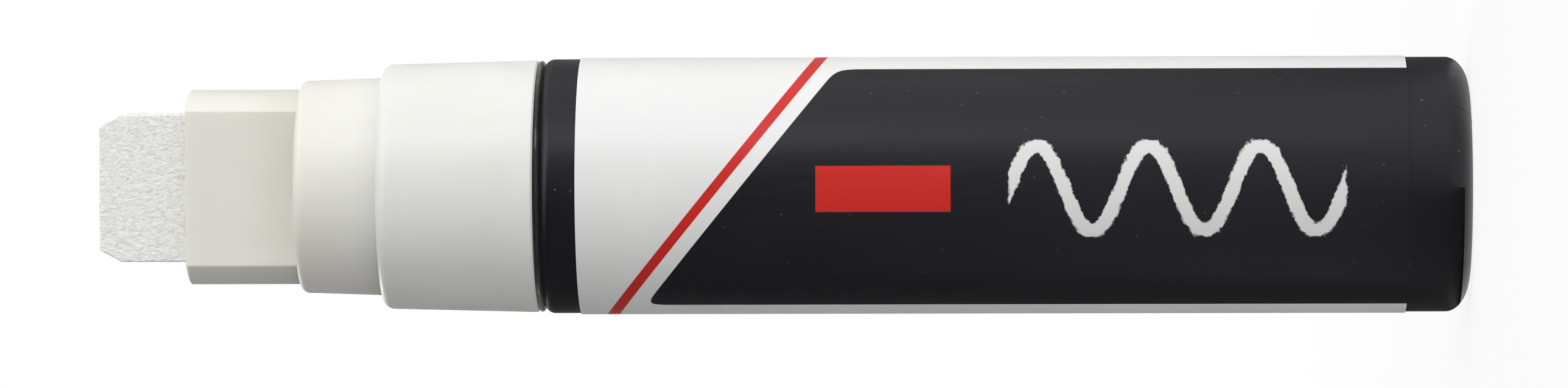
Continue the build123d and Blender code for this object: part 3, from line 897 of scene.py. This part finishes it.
def make_floor_card(name, colour, outline):
    """A card on the floor that shows only in gloss."""
    corners = [(x, y, CARD_FOOT_Z) for x, y in outline]
    card = make_card(name, colour, corners, [(0, 1, 2, 3)])
    card.visible_diffuse = False
    card.visible_shadow = False


def make_cards():
    """Cards round the marker as the camera sees it: dark below and in front, grey behind and over it, and
    on the floor a dark one behind and a grey one beside the base."""
    behind_below = (CARD_BELOW_X, CARD_BACK_Y)
    make_standing_card(
        "dark_card",
        FRONT_CARD_COLOUR,
        (behind_below, (CARD_BELOW_X, CARD_FRONT_Y), (CARD_FRONT_END_X, CARD_FRONT_Y)),
    )
    make_standing_card("grey_card", BACK_CARD_COLOUR, (behind_below, (CARD_BACK_END_X, CARD_BACK_Y)))
    top_corners = [(x, y, CARD_TOP_Z) for x, y in TOP_CARD_CORNERS]
    make_card("top_card", TOP_CARD_COLOUR, top_corners, [(0, 1, 2, 3)])
    make_floor_card("low_card", FRONT_CARD_COLOUR, LOW_CARD_CORNERS)
    make_floor_card("base_card", BASE_CARD_COLOUR, BASE_CARD_CORNERS)


def make_soft_box(name, angle, distance, height, sides, power):
    """A soft box turned to the marker, at an angle round from the camera's side towards +X."""
    lamp = bpy.data.lights.new(name, "AREA")
    lamp.shape = "RECTANGLE"
    lamp.size, lamp.size_y = sides
    lamp.energy = power
    holder = bpy.data.objects.new(name, lamp)
    bpy.context.scene.collection.objects.link(holder)
    aside = Vector((math.sin(angle), -math.cos(angle), 0))
    upward = Vector((0, 0, 1))
    spot = aside * distance + upward * height
    outward = (spot - upward * SOFT_BOX_AIM).normalized()
    level = upward.cross(outward).normalized()
    turn = Matrix((level, outward.cross(level), outward)).transposed()
    holder.matrix_world = Matrix.Translation(spot) @ turn.to_4x4()


def make_soft_boxes():
    """The main light beside the camera, and a weaker one behind the marker."""
    make_soft_box(
        "main_box", MAIN_BOX_ANGLE, MAIN_BOX_DISTANCE, MAIN_BOX_HEIGHT, MAIN_BOX_SIDES, MAIN_BOX_POWER
    )
    make_soft_box(
        "fill_box", FILL_BOX_ANGLE, FILL_BOX_DISTANCE, FILL_BOX_HEIGHT, FILL_BOX_SIDES, FILL_BOX_POWER
    )


def make_camera():
    """The photograph's view: a long lens, square to the nib's broad side, with +X up in the frame."""
    lens = bpy.data.cameras.new("photo_camera")
    lens.sensor_fit = "HORIZONTAL"
    lens.sensor_width = CAMERA_SENSOR_MM
    lens.lens = CAMERA_LENS_MM
    lens.clip_start, lens.clip_end = CAMERA_CLIP
    camera = bpy.data.objects.new("photo_camera", lens)
    bpy.context.scene.collection.objects.link(camera)
    ahead = (CAMERA_AIM - CAMERA_PLACE).normalized()
    right = ahead.cross(Vector((1, 0, 0))).normalized()
    up = right.cross(ahead)
    turn = Matrix((right, up, -ahead)).transposed() @ Matrix.Rotation(CAMERA_ROLL, 3, "Z")
    camera.matrix_world = Matrix.Translation(CAMERA_PLACE) @ turn.to_4x4()
    bpy.context.scene.camera = camera


make_room()
make_floor()
make_cards()
make_soft_boxes()
make_camera()
bpy.context.scene.view_settings.view_transform = "Standard"
